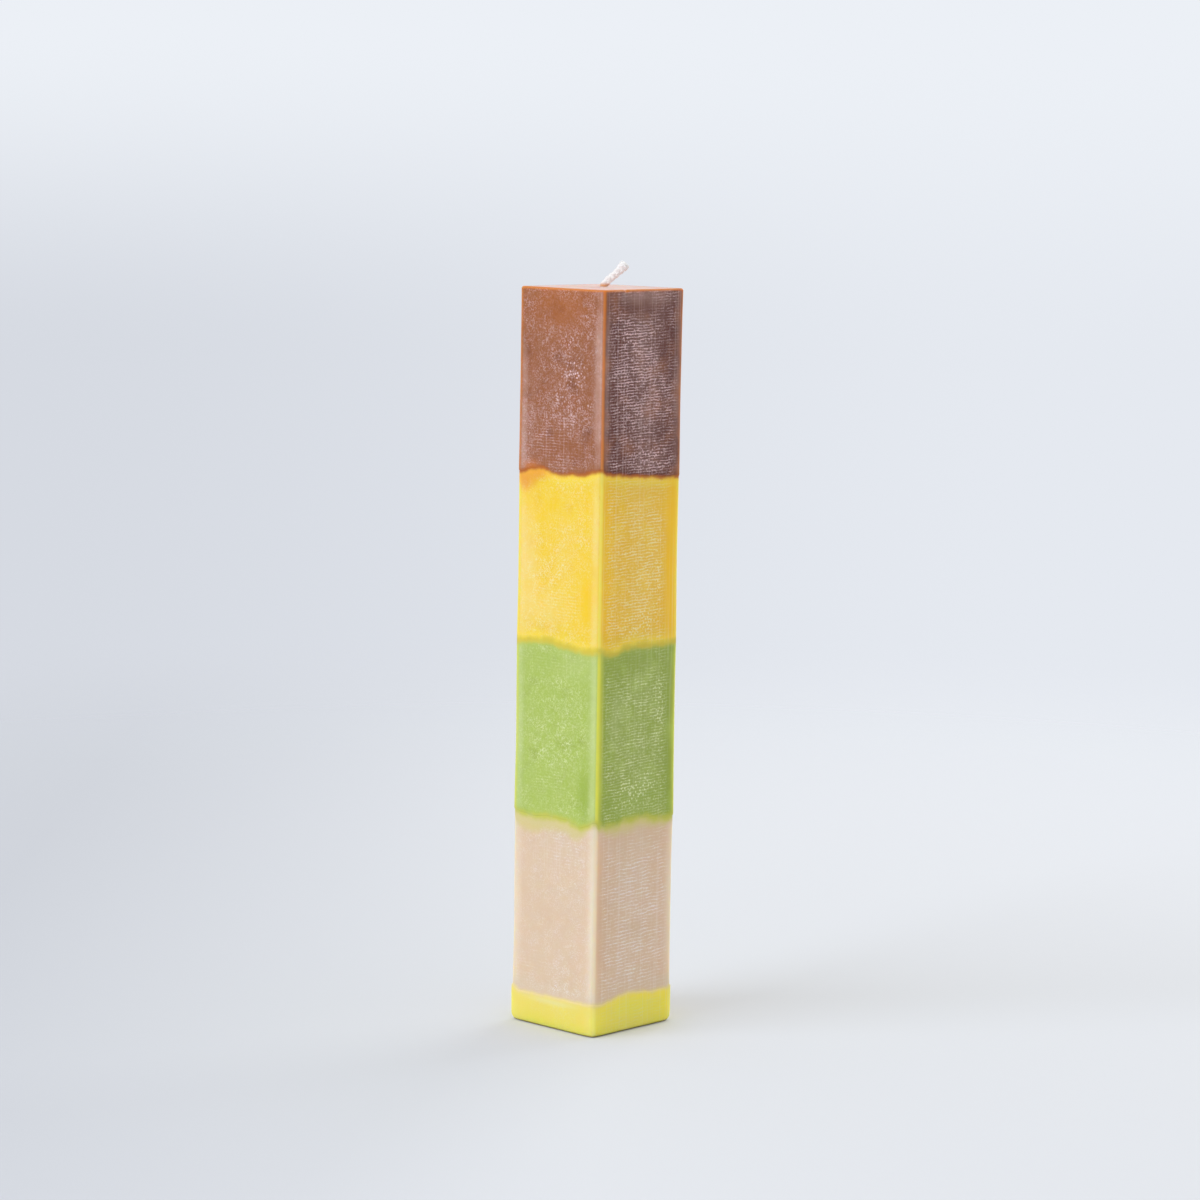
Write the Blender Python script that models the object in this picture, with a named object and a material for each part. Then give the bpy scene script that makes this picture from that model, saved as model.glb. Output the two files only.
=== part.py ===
# A square pillar candle, poured in five colours of wax on one braided cotton wick.
#
# The origin is the middle of the resting face and +Z is up. The candle's sides lie along X and Y.
# The candle is cast upside down, so each pour sets with an uneven surface that the next one fills.

import math

import bmesh
import bpy
from mathutils import Vector

# Moulded body
SIDE = 0.040            # width across the flats
HEIGHT = 0.256          # resting face to top face
CORNER_RADIUS = 0.0020  # the four upright edges
TOP_EDGE_RADIUS = 0.0008
BASE_EDGE_RADIUS = 0.0016
CORNER_STEPS = 4
RIM_STEPS = 2

# Heights of the pour lines above the resting face
LEMON_TOP = 0.0120
BEIGE_TOP = 0.0738
GREEN_TOP = 0.1342
YELLOW_TOP = 0.1933

# Wax shrinks off the mould between the pour lines and fills it at them
WAIST = 0.00012
LIP = 0.00012

# Braided cotton wick
WICK_DIAMETER = 0.0028
WICK_RECESS = 0.0006       # trimmed this far above the resting face
WICK_STANDS = 0.0112       # length that stands out of the top
WICK_LEAN = math.radians(44)
WICK_LEAN_TOWARDS = math.radians(43.7)  # direction of the lean, from +X round to +Y
WICK_BEND_RADIUS = 0.0030
WICK_END_SWELL = 1.22      # the cut end has opened up
WICK_CLEARANCE = 0.0003    # wick to wax
POUR_CLEARANCE = 0.0003    # one pour to the next

# How far each pour line runs above or below its height, in millimetres, at sixteen stations: four to a
# side, from the left front corner past the right front, right back and left back corners.
POUR_LINES = {
    "lemon": (0.6, -0.8, -0.8, -0.7, -0.4, 0.8, 1.4, 0.3, 1.0, 0.2, -0.3, 0.4, 0.8, -0.2, -0.6, 0.1),
    "beige": (0.8, -0.2, 0.6, -0.9, 1.1, -0.7, 0.5, -0.4, -0.8, 0.1, 0.7, -0.3, 0.6, -0.5, 0.2, -0.4),
    "green": (0.1, 0.9, 1.0, -0.6, -0.4, -1.3, 0.5, 0.0, 0.2, 0.6, -0.3, -0.7, 0.5, 0.8, -0.2, -0.5),
    "yellow": (-0.8, 1.0, -0.5, 0.1, 2.0, 0.1, -0.7, -1.4, -1.8, -0.6, 0.3, -0.4, 0.9, -0.3, 0.4, -0.6),
}
STATIONS = 16

# Helper solids reach past the wax that they cut
POUR_OVERHANG = 0.0025
POUR_GRID = 9
BORE_SIDES = 24
BORE_OVERHANG = 0.002

WAX_FINISH = {
    "lemon": ((0.82, 0.74, 0.16), 0.45),
    "beige": ((0.78, 0.60, 0.44), 0.50),
    "green": ((0.42, 0.58, 0.15), 0.50),
    "yellow": ((0.92, 0.62, 0.05), 0.48),
    "brown": ((0.36, 0.16, 0.08), 0.50),
}
WICK_FINISH = ((0.86, 0.85, 0.83), 0.85)

HALF_SIDE = SIDE / 2


def clear_scene():
    for old in list(bpy.data.objects):
        bpy.data.objects.remove(old)


def new_collection(name):
    collection = bpy.data.collections.new(name)
    bpy.context.scene.collection.children.link(collection)
    return collection


def new_object(name, bm, collection):
    """Turns a bmesh into a named object."""
    mesh = bpy.data.meshes.new(name)
    bm.to_mesh(mesh)
    bm.free()
    obj = bpy.data.objects.new(name, mesh)
    collection.objects.link(obj)
    return obj


def as_helper(obj):
    """A helper solid cuts or bounds the wax, and isn't a piece of the candle."""
    obj.hide_render = True
    obj.display_type = "WIRE"
    return obj


def paint(obj, name, finish):
    colour, roughness = finish
    material = bpy.data.materials.new(name)
    material.use_nodes = True
    shader = material.node_tree.nodes["Principled BSDF"]
    shader.inputs["Base Color"].default_value = (*colour, 1.0)
    shader.inputs["Roughness"].default_value = roughness
    shader.inputs["Metallic"].default_value = 0.0
    material.diffuse_color = (*colour, 1.0)
    obj.data.materials.clear()
    obj.data.materials.append(material)


def station_at(x, y):
    """Where a point lies round the candle, from 0 at the left front corner to 16 back at it."""
    reach = max(abs(x), abs(y))
    if reach == 0:
        return 0.0
    x, y = x / reach, y / reach
    per_side = STATIONS / 4
    if y <= -1:
        return per_side * (x + 1) / 2
    if x >= 1:
        return per_side * (1 + (y + 1) / 2)
    if y >= 1:
        return per_side * (2 + (1 - x) / 2)
    return per_side * (3 + (1 - y) / 2)


def pour_offset(pour, x, y):
    """How far the pour's surface lies above its pour line: the full offset at the sides, none at the wick."""
    line = POUR_LINES[pour]
    station = station_at(x, y)
    before = int(station) % STATIONS
    share = (1 - math.cos(math.pi * (station - int(station)))) / 2
    offset = line[before] + (line[(before + 1) % STATIONS] - line[before]) * share
    fade = min(1.0, max(abs(x), abs(y)) / HALF_SIDE) ** 2
    return offset * 0.001 * fade


def waist_offset(z, pour_heights):
    """How far the side stands out at height z: a lip at each pour line and a waist midway between two."""
    for low, high in zip(pour_heights, pour_heights[1:]):
        if low <= z <= high:
            swing = math.cos(2 * math.pi * (z - low) / (high - low))
            return (LIP - WAIST) / 2 + (LIP + WAIST) / 2 * swing
    return 0.0


def upright_edges(bm):
    return [e for e in bm.edges if abs(e.verts[0].co.z - e.verts[1].co.z) > HEIGHT / 2]


def rim_edges(bm, z):
    """The edges that run round the body at height z."""
    return [e for e in bm.edges if all(abs(v.co.z - z) < 1e-6 for v in e.verts)]


def bevel(bm, edges, radius, steps):
    bmesh.ops.bevel(bm, geom=edges, offset=radius, segments=steps, profile=0.5, affect="EDGES",
                    clamp_overlap=True, material=-1)


def moulded_body(collection, bore):
    """The whole candle as the mould shapes it, with the wick's bore, before it is parted into pours."""
    bm = bmesh.new()
    bmesh.ops.create_cube(bm, size=1.0)
    bmesh.ops.scale(bm, vec=(SIDE, SIDE, HEIGHT), verts=bm.verts)
    bmesh.ops.translate(bm, vec=(0, 0, HEIGHT / 2), verts=bm.verts)
    bevel(bm, upright_edges(bm), CORNER_RADIUS, CORNER_STEPS)
    bevel(bm, rim_edges(bm, HEIGHT), TOP_EDGE_RADIUS, RIM_STEPS)
    bevel(bm, rim_edges(bm, 0), BASE_EDGE_RADIUS, RIM_STEPS)

    pour_heights = (0.0, LEMON_TOP, BEIGE_TOP, GREEN_TOP, YELLOW_TOP, HEIGHT)
    middles = [(low + high) / 2 for low, high in zip(pour_heights, pour_heights[1:])]
    for z in sorted([*pour_heights[1:-1], *middles[1:]]):
        everything = [*bm.verts, *bm.edges, *bm.faces]
        bmesh.ops.bisect_plane(bm, geom=everything, dist=1e-6, plane_co=(0, 0, z), plane_no=(0, 0, 1))
    for vert in bm.verts:
        if BASE_EDGE_RADIUS < vert.co.z < HEIGHT - TOP_EDGE_RADIUS:
            spread = 1 + waist_offset(vert.co.z, pour_heights) / HALF_SIDE
            vert.co.x *= spread
            vert.co.y *= spread

    body = as_helper(new_object("moulded_body", bm, collection))
    cut = body.modifiers.new("wick bore", "BOOLEAN")
    cut.operation = "DIFFERENCE"
    cut.object = bore
    return body


def wick_bore(collection):
    radius = WICK_DIAMETER / 2 + WICK_CLEARANCE
    bm = bmesh.new()
    bmesh.ops.create_cone(bm, cap_ends=True, segments=BORE_SIDES, radius1=radius, radius2=radius,
                          depth=HEIGHT + 2 * BORE_OVERHANG)
    bmesh.ops.translate(bm, vec=(0, 0, HEIGHT / 2), verts=bm.verts)
    return as_helper(new_object("wick_bore", bm, collection))


def pour_block(pour, below, low, high, body, collection):
    """One pour: the part of the moulded body between the pour line below it and its own."""
    bm = bmesh.new()
    width = SIDE + 2 * POUR_OVERHANG
    bmesh.ops.create_grid(bm, x_segments=POUR_GRID, y_segments=POUR_GRID, size=width / 2)
    bottom_faces = list(bm.faces)
    raised = bmesh.ops.extrude_face_region(bm, geom=bottom_faces, use_keep_orig=True)
    top_verts = [g for g in raised["geom"] if isinstance(g, bmesh.types.BMVert)]
    top = set(top_verts)
    for vert in bm.verts:
        x, y = vert.co.x, vert.co.y
        if vert in top:
            lift = -POUR_CLEARANCE / 2 + pour_offset(pour, x, y) if pour in POUR_LINES else POUR_OVERHANG
            vert.co.z = high + lift
        else:
            lift = POUR_CLEARANCE / 2 + pour_offset(below, x, y) if below else -POUR_OVERHANG
            vert.co.z = low + lift
    bmesh.ops.recalc_face_normals(bm, faces=bm.faces)

    layer = new_object(f"{pour}_wax_layer", bm, collection)
    keep = layer.modifiers.new("moulded sides", "BOOLEAN")
    keep.operation = "INTERSECT"
    keep.object = body
    paint(layer, f"{pour}_wax", WAX_FINISH[pour])
    layer.data.shade_smooth()
    layer.data.set_sharp_from_angle(angle=math.radians(35))
    return layer


def wick_route():
    """Points along the wick's middle: straight up the bore, round the bend, and out to the cut end."""
    towards = Vector((math.cos(WICK_LEAN_TOWARDS), math.sin(WICK_LEAN_TOWARDS), 0))
    bend_start = Vector((0, 0, HEIGHT + WICK_CLEARANCE))
    points = [Vector((0, 0, WICK_RECESS)), bend_start]
    bend_steps = 5
    for step in range(1, bend_steps + 1):
        angle = WICK_LEAN * step / bend_steps
        across = WICK_BEND_RADIUS * (1 - math.cos(angle))
        rise = WICK_BEND_RADIUS * math.sin(angle)
        points.append(bend_start + towards * across + Vector((0, 0, rise)))
    straight = WICK_STANDS - WICK_CLEARANCE - WICK_BEND_RADIUS * WICK_LEAN
    heading = towards * math.sin(WICK_LEAN) + Vector((0, 0, math.cos(WICK_LEAN)))
    bend_end = points[-1]
    for share in (0.5, 0.75, 1.0):
        points.append(bend_end + heading * straight * share)
    return points


def wick(collection):
    route = wick_route()
    curve = bpy.data.curves.new("wick", "CURVE")
    curve.dimensions = "3D"
    curve.bevel_depth = WICK_DIAMETER / 2
    curve.bevel_resolution = 4
    curve.use_fill_caps = True
    spline = curve.splines.new("POLY")
    spline.points.add(len(route) - 1)
    for point, place in zip(spline.points, route):
        point.co = (*place, 1.0)
    spline.points[-2].radius = WICK_END_SWELL
    spline.points[-1].radius = WICK_END_SWELL
    obj = bpy.data.objects.new("wick", curve)
    collection.objects.link(obj)
    paint(obj, "cotton_wick", WICK_FINISH)
    return obj


def build():
    clear_scene()
    helpers = new_collection("helpers")
    candle = new_collection("candle")
    body = moulded_body(helpers, wick_bore(helpers))
    pour_block("lemon", None, 0.0, LEMON_TOP, body, candle)
    pour_block("beige", "lemon", LEMON_TOP, BEIGE_TOP, body, candle)
    pour_block("green", "beige", BEIGE_TOP, GREEN_TOP, body, candle)
    pour_block("yellow", "green", GREEN_TOP, YELLOW_TOP, body, candle)
    pour_block("brown", "yellow", YELLOW_TOP, HEIGHT, body, candle)
    wick(candle)


build()
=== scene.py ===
import math
import random

import bmesh
import bpy
from mathutils import Matrix, Vector, noise


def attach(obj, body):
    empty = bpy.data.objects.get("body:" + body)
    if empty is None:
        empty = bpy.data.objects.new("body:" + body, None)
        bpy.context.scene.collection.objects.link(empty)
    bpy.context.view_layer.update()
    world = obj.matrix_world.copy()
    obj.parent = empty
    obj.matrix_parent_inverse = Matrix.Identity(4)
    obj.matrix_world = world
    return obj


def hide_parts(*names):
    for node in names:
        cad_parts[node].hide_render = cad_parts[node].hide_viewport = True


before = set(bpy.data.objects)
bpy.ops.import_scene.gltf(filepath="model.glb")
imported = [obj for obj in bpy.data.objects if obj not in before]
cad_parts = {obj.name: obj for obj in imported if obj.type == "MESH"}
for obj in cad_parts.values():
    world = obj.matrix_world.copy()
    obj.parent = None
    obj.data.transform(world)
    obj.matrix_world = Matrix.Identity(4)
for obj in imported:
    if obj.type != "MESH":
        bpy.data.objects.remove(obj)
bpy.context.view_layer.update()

# A square pillar candle poured in five colours of wax, with a braided cotton wick.
# Meshes are shaped in millimetres and brought to metres at the end. Z is up, the photo shows -Y and +X.

millimetre = 0.001

# "Around" is the distance round the outside, anticlockwise seen from above:
# 0 left front corner, 40 right front, 80 right back, 120 left back, 160 left front again.
mould = {
    "side": 40.0,
    "cornerRadius": 1.8,
    "cornerSegments": 8,
    "rimSegments": 5,
    "columns": 44,
    "crowding": 0.8,      # of the rows towards the pour lines
    "capRings": 14,
    "boreRadius": 1.2,
    "crease": math.radians(40),    # sharper edges are shaded sharp
    "wobble": 0.07,       # how far the wax wanders off the flat mould wall
    "wobbleSize": 22.0,
    "noSeam": 100.0,      # stands for the distance to a pour line that isn't there
}
wayRound = 4 * mould["side"]

# Height of each pour line at places around the candle, read off the photo on the two sides it shows.
pourLines = {
    "lemonBeige": [
        (1, 12.7), (4.4, 11.0), (12, 11.1), (25, 11.2), (35, 11.3), (39.5, 11.6), (45, 11.4), (48, 12.0),
        (51, 12.8), (54, 13.4), (57, 13.6), (64, 13.0), (70, 12.2), (77, 12.3), (79.6, 13.0), (90, 12.2),
        (100, 11.7), (110, 12.4), (120, 12.8), (130, 11.8), (140, 11.4), (150, 12.1)],
    "beigeGreen": [
        (0.5, 74.7), (4, 74.1), (10, 73.6), (18, 74.4), (26, 74.1), (30, 73.1), (32.7, 72.2), (35.5, 73.2),
        (38.8, 74.7), (40, 75.0), (42, 73.8), (46, 73.0), (50, 73.0), (54, 74.0), (63, 74.4), (71, 73.3),
        (75, 72.6), (79, 73.0), (90, 73.9), (100, 74.5), (110, 73.5), (120, 74.4), (130, 73.3), (140, 74.0),
        (150, 73.4)],
    "greenYellow": [
        (1, 134.4), (10, 135.1), (17, 135.4), (25, 134.1), (33, 133.5), (39, 133.9), (41, 133.8),
        (45, 132.9), (49, 132.9), (53, 134.2), (57, 134.7), (65, 134.5), (74, 134.1), (79, 134.4),
        (90, 134.8), (100, 133.9), (110, 133.5), (120, 134.7), (130, 135.0), (140, 134.0), (150, 133.7)],
    "yellowBrown": [
        (1.5, 192.6), (8, 194.1), (12.5, 194.6), (18, 192.9), (22, 192.6), (27.5, 193.4), (31.5, 193.4),
        (36.7, 194.6), (40, 195.4), (43, 194.0), (47, 193.5), (54, 192.9), (64, 192.3), (72, 191.6),
        (79, 191.5), (90, 192.7), (100, 193.6), (110, 192.9), (120, 194.2), (130, 193.0), (140, 193.7),
        (150, 192.7)],
}

# Where two pours meet, the hot wax of the later one melted the set wax of the one before. The candle was poured
# upside down, brown first. Widths and depths are millimetres; film says how far below the line the upper
# colour still shows, around the candle.
seams = {
    "lemonBeige": {
        "lower": "#f2e470", "upper": "#e2cab0", "soft": 1.1, "ragged": 0.8, "raggedSize": 4.0,
        "line": "#ecdca0", "lineWidth": 1.4, "lineAmount": 0.35, "filmColour": "#efe39c", "filmAmount": 0.3,
        "filmSoft": 1.0, "film": [(0, 1.2), (20, 2.6), (38, 1.0), (60, 0.6), (80, 0.8), (120, 1.6)]},
    "beigeGreen": {
        "lower": "#e2cab0", "upper": "#b0c95a", "soft": 1.6, "ragged": 1.2, "raggedSize": 4.5,
        "line": "#c8ca44", "lineWidth": 2.6, "lineAmount": 0.75, "filmColour": "#ddd08c", "filmAmount": 0.8,
        "filmSoft": 1.8, "film": [
            (0.5, 3.0), (3, 5.0), (6, 5.8), (10, 5.6), (16, 4.8), (24, 4.4), (30, 4.8), (34, 3.6), (38, 1.6),
            (42, 1.6), (48, 3.2), (56, 3.8), (64, 3.2), (74, 2.8), (80, 1.6), (95, 3.6), (110, 2.0), (125, 4.0),
            (140, 2.4), (152, 3.5)]},
    "greenYellow": {
        "lower": "#b0ca60", "upper": "#fad94c", "soft": 2.0, "ragged": 1.3, "raggedSize": 6.0,
        "line": "#d8c038", "lineWidth": 2.2, "lineAmount": 0.65, "filmColour": "#c4cc5c", "filmAmount": 0.4,
        "filmSoft": 2.0, "film": [(0, 1.5), (20, 1.0), (40, 2.2), (60, 1.2), (80, 1.0), (120, 1.4)]},
    "yellowBrown": {
        "lower": "#fbd646", "upper": "#985a3c", "soft": 0.8, "ragged": 0.7, "raggedSize": 3.5,
        "line": "#b55a24", "lineWidth": 1.3, "lineAmount": 0.75, "filmColour": "#f3a232", "filmAmount": 0.7,
        "filmSoft": 2.6, "film": [
            (0, 2.2), (2, 4.0), (5, 5.6), (8, 5.4), (12, 3.4), (15, 1.4), (18, 0.2), (38, -0.4), (42, -0.2),
            (56, 0.3), (70, 0.0), (85, 0.2), (100, 1.6), (106, 3.0), (112, 0.8), (130, 0.3), (146, 1.4),
            (154, 0.8)]},
}

# Around the candle: wrinkled white bloom; smooth pale haze, which by the front corner is partly a painted
# highlight; painted glow of light through the thin edges; and a second colour on the sides away from the front,
# partly clouds in the wax and partly painted shade (on the lemon, painted light).
bloomAround = [
    (0, 0.0), (1.4, 0.1), (3, 0.3), (6.5, 0.35), (14, 0.45), (22, 0.55), (31, 0.45), (36, 0.3),
    (39.0, 0.15), (41.6, 0.0), (42.8, 0.35), (45, 0.8), (49, 0.95), (56, 1.05), (66, 1.05), (74, 1.0),
    (76, 0.5), (77.5, 0.1), (79.2, 0.0), (81, 0.0), (84, 0.4), (92, 0.8), (108, 0.7), (116, 0.4), (119.5, 0.05),
    (121, 0.1), (124, 0.45), (134, 0.75), (148, 0.6), (156, 0.4), (158.8, 0.1)]
# The band just before the front corner, 35.8 to 39.8, is partly frost and partly a painted highlight
hazeAndHighlightAround = [
    (0, 0.0), (1.8, 0.1), (2.8, 0.8), (3.8, 0.6), (5.4, 0.1), (12, 0.0), (34, 0.0), (35.8, 0.15), (37.4, 0.9),
    (39.0, 1.0), (39.8, 0.2), (41, 0.0), (52, 0.15), (60, 0.3), (70, 0.2), (78, 0.0), (82, 0.0), (100, 0.2),
    (116.5, 0.0), (118.2, 0.5), (119.4, 0.0), (121, 0.0), (122.5, 0.5), (125, 0.1), (140, 0.2), (156, 0.0)]
# Painted light: the upright corners glow as if light came through the thin wax
edgeAround = [
    (0, 1.0), (1.2, 0.55), (2.8, 0.0), (39.5, 0.0), (40.1, 1.0), (40.9, 0.9), (41.6, 0.25), (43.0, 0.0),
    (77.6, 0.0), (79.0, 0.45), (80, 0.8), (81.0, 0.5), (82.5, 0.0), (117.5, 0.0), (119.0, 0.5), (120, 1.0),
    (121.0, 0.5), (122.5, 0.0), (157.8, 0.0), (159.0, 0.5)]
# The sides away from the front: there the second colour paints their shade
awaySideAround = [
    (0, 0.0), (20, 0.05), (39, 0.0), (42, 0.7), (45, 1.0), (76, 1.0), (79.5, 0.4), (82, 0.3), (90, 0.9),
    (112, 0.8), (120, 0.2), (130, 0.6), (150, 0.5)]


# What each point of the wax knows about its place; the materials read these as attributes
waxFields = (
    "aboveFoot", "belowHead", "aboveSeam", "belowSeam", "filmFoot", "filmHead", "bloom", "specks", "smoothHaze",
    "clouded", "wrinkled", "edgeGlow", "tinted", "warmed")


def aroundAt(x, y):
    half = mould["side"] / 2
    reach = max(abs(x), abs(y), 0.001)
    x, y = x * half / reach, y * half / reach
    if y < -half + 0.001:
        return x + half
    if x > half - 0.001:
        return y + 3 * half
    if y > half - 0.001:
        return 5 * half - x
    return 7 * half - y


def readAround(table, around):
    around = around if around >= table[0][0] else around + wayRound
    following = table[1:] + [(table[0][0] + wayRound, table[0][1])]
    for (start, value), (end, nextValue) in zip(table, following):
        if around <= end:
            share = 0.5 - 0.5 * math.cos(math.pi * (around - start) / (end - start))
            return value + (nextValue - value) * share
    return following[-1][1]


def pourHeight(line, x, y):
    # The wavy line at the wall calms down to its mean height at the wick.
    table = pourLines[line]
    mean = sum(height for place, height in table) / len(table)
    inward = min(1.0, max(abs(x), abs(y)) / (mould["side"] / 2)) ** 2
    return mean + (readAround(table, aroundAt(x, y)) - mean) * inward


def patchAt(piece, kind, around, height, bare=0.0):
    # Each patch (around, height, half width, half height, amount) adds to the bare wax or takes away.
    total = bare
    for place, middle, wide, tall, amount in piece.get(kind, ()):
        apart = (around - place + wayRound / 2) % wayRound - wayRound / 2
        distance = math.hypot(apart / wide, (height - middle) / tall)
        if distance < 1:
            total += amount * (0.5 + 0.5 * math.cos(math.pi * distance))
    return max(bare - 1, total)


def capLoop(bm, height):
    return [e for e in bm.edges if e.is_boundary and all(abs(v.co.z - height) < 0.01 for v in e.verts)]


def castLayer(name, piece):
    # A block with rounded uprights, cut into rows and columns, then bent to the pour lines.
    foot, head, side = piece["foot"], piece["head"], mould["side"]
    footLine, headLine = piece.get("footLine"), piece.get("headLine")
    footRadius, headRadius = piece.get("footRadius", 0.0), piece.get("headRadius", 0.0)
    bm = bmesh.new()
    bmesh.ops.create_cube(bm, size=1.0)
    bmesh.ops.scale(bm, vec=(side, side, head - foot), verts=bm.verts)
    bmesh.ops.translate(bm, vec=(0, 0, (foot + head) / 2), verts=bm.verts)
    uprights = [e for e in bm.edges if abs(e.verts[0].co.z - e.verts[1].co.z) > 1]
    bmesh.ops.bevel(bm, geom=uprights, offset=mould["cornerRadius"], offset_type="OFFSET", affect="EDGES",
                    segments=mould["cornerSegments"], profile=0.5, material=-1)
    for height, radius in ((foot, footRadius), (head, headRadius)):
        if radius:
            rim = [e for e in bm.edges if all(abs(v.co.z - height) < 0.01 for v in e.verts)]
            bmesh.ops.bevel(bm, geom=rim, offset=radius, offset_type="OFFSET", affect="EDGES",
                            segments=mould["rimSegments"], profile=0.5, material=-1)
    caps = [f for f in bm.faces if abs(f.normal.z) > 0.99]
    bmesh.ops.delete(bm, geom=caps, context="FACES_ONLY")

    # Columns on the four flats, then rows up the walls.
    flats = [e for e in bm.edges if (e.verts[0].co - e.verts[1].co).length > side / 2
             and abs(e.verts[0].co.z - e.verts[1].co.z) < 0.01]
    bmesh.ops.subdivide_edges(bm, edges=flats, cuts=mould["columns"] - 1, use_grid_fill=True)
    risers = [e for e in bm.edges if abs(e.verts[0].co.z - e.verts[1].co.z) > 0.6 * (head - foot)]
    bmesh.ops.subdivide_edges(bm, edges=risers, cuts=piece["rows"] - 1, use_grid_fill=True)

    # Each end closes in rings down to the bore that the wick fills.
    for height in (foot, head):
        grown = bmesh.ops.extrude_edge_only(bm, edges=capLoop(bm, height))["geom"]
        rim = {v for v in grown if isinstance(v, bmesh.types.BMVert)}
        for v in rim:
            v.co.xy = v.co.xy.normalized() * mould["boreRadius"]
        spokes = [e for e in bm.edges if len(rim.intersection(e.verts)) == 1]
        bmesh.ops.subdivide_edges(bm, edges=spokes, cuts=mould["capRings"] - 1, use_grid_fill=True)
    bmesh.ops.bridge_loops(bm, edges=capLoop(bm, foot) + capLoop(bm, head))
    bmesh.ops.recalc_face_normals(bm, faces=bm.faces)

    for f in bm.faces:
        f.smooth = True
    for e in bm.edges:
        if len(e.link_faces) == 2 and e.calc_face_angle() > mould["crease"]:
            e.smooth = False

    fields = {part: bm.verts.layers.float.new(part) for part in waxFields}
    low, high = foot + footRadius, head - headRadius
    for v in bm.verts:
        x, y, z = v.co
        around = aroundAt(x, y)
        if low < z < high:
            # Rows lie closer together near the pour lines.
            share = (z - low) / (high - low)
            z = low + (high - low) * (share - mould["crowding"] * math.sin(2 * math.pi * share) / (2 * math.pi))
        share = (z - foot) / (head - foot)
        footHeight = pourHeight(footLine, x, y) if footLine else foot
        headHeight = pourHeight(headLine, x, y) if headLine else head
        z += (footHeight - foot) * (1 - share) + (headHeight - head) * share
        rise, drop = max(0.0, z - footHeight), max(0.0, headHeight - z)
        calm = (min(1.0, rise / 3) if footLine else 1.0) * (min(1.0, drop / 3) if headLine else 1.0)
        here = {
            "aboveFoot": rise, "aboveSeam": rise if footLine else mould["noSeam"],
            "belowHead": drop, "belowSeam": drop if headLine else mould["noSeam"],
            "filmFoot": readAround(seams[footLine]["film"], around) if footLine else 0.0,
            "filmHead": readAround(seams[headLine]["film"], around) if headLine else 0.0,
            "bloom": readAround(bloomAround, around) * patchAt(piece, "bloomPatches", around, z, 1.0) * calm,
            "specks": patchAt(piece, "speckPatches", around, z) * calm,
            "smoothHaze": max(0.0, readAround(hazeAndHighlightAround, around)
                              + patchAt(piece, "hazeAndHighlightPatches", around, z)) * calm,
            "tinted": patchAt(piece, "tintPatches", around, z),
            "warmed": patchAt(piece, "warmPatches", around, z),
            "edgeGlow": min(1.0, readAround(edgeAround, around) + patchAt(piece, "glowPatches", around, z)),
            "clouded": readAround(awaySideAround, around),
        }
        here["wrinkled"] = min(1.0, 0.1 + 0.9 * here["clouded"] + patchAt(piece, "wrinklePatches", around, z))
        inside = side / 2 - max(abs(x), abs(y))
        if not headLine and drop < 0.1:
            # The top face is hazed all over inside its clear rim.
            within = max(0.0, inside - headRadius)
            here.update(bloom=piece["headBloom"], smoothHaze=min(1.0, within / 1.2) * piece["headHaze"],
                        specks=0.0, edgeGlow=0.0, tinted=0.0, warmed=0.0, clouded=0.0, belowHead=within)
        if not footLine and rise < 0.1:
            here.update(bloom=piece["footBloom"], edgeGlow=0.0, aboveFoot=max(0.0, inside - footRadius))
        for part, field in fields.items():
            v[field] = here[part]

        # Wax shrinks off the mould between the pour lines and keeps a rounded lip at them.
        proud = piece["proudFoot"] * (1 - share) + piece["proudHead"] * share
        proud -= piece["waist"] * math.sin(math.pi * share)
        away = 1.0
        for near, meets, line in ((rise, piece["footMeets"], footLine), (drop, piece["headMeets"], headLine)):
            if line:
                away *= min(1.0, near / 2)
                if near < piece["lip"]:
                    proud = meets + (proud - meets) * math.sqrt(1 - (1 - near / piece["lip"]) ** 2)
        drift = noise.noise(Vector((x, y, z)) / mould["wobbleSize"]) * mould["wobble"] * away
        grow = 1 + (proud + drift) / (side / 2)
        v.co = Vector((x * grow, y * grow, z))
    if "shape" in piece:
        piece["shape"](bm)

    mesh = bpy.data.meshes.new(name)
    bm.to_mesh(mesh)
    bm.free()
    mesh.transform(Matrix.Scale(millimetre, 4))
    obj = bpy.data.objects.new(name, mesh)
    bpy.context.scene.collection.objects.link(obj)
    return obj


def hexColour(text):
    # sRGB hex to the linear values that the shader works in
    values = [int(text[i:i + 2], 16) / 255 for i in (1, 3, 5)]
    return tuple(c / 12.92 if c <= 0.04045 else ((c + 0.055) / 1.055) ** 2.4 for c in values) + (1.0,)


def addNode(tree, kind, settings=None, values=None, links=None):
    # A link from a node takes its first output; any other output is named where it is used.
    node = tree.nodes.new(kind)
    for name, setting in (settings or {}).items():
        setattr(node, name, setting)
    for socket, value in (values or {}).items():
        node.inputs[socket].default_value = value
    for socket, source in (links or {}).items():
        source = source.outputs[0] if isinstance(source, bpy.types.Node) else source
        tree.links.new(source, node.inputs[socket])
    return node


# Settings that many nodes share
smoothly = {"interpolation_type": "SMOOTHSTEP"}
inColour = {"data_type": "RGBA"}
plus = {"operation": "ADD"}
times = {"operation": "MULTIPLY"}
timesPlus = {"operation": "MULTIPLY_ADD"}


def newMaterial(name):
    material = bpy.data.materials.new(name)
    material.use_nodes = True
    tree = material.node_tree
    tree.nodes.clear()
    return material, tree


def inMillimetres(tree):
    coords = addNode(tree, "ShaderNodeTexCoord")
    return addNode(tree, "ShaderNodeVectorMath", {"operation": "SCALE"}, {"Scale": 1 / millimetre},
                   {0: coords.outputs["Object"]})


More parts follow.
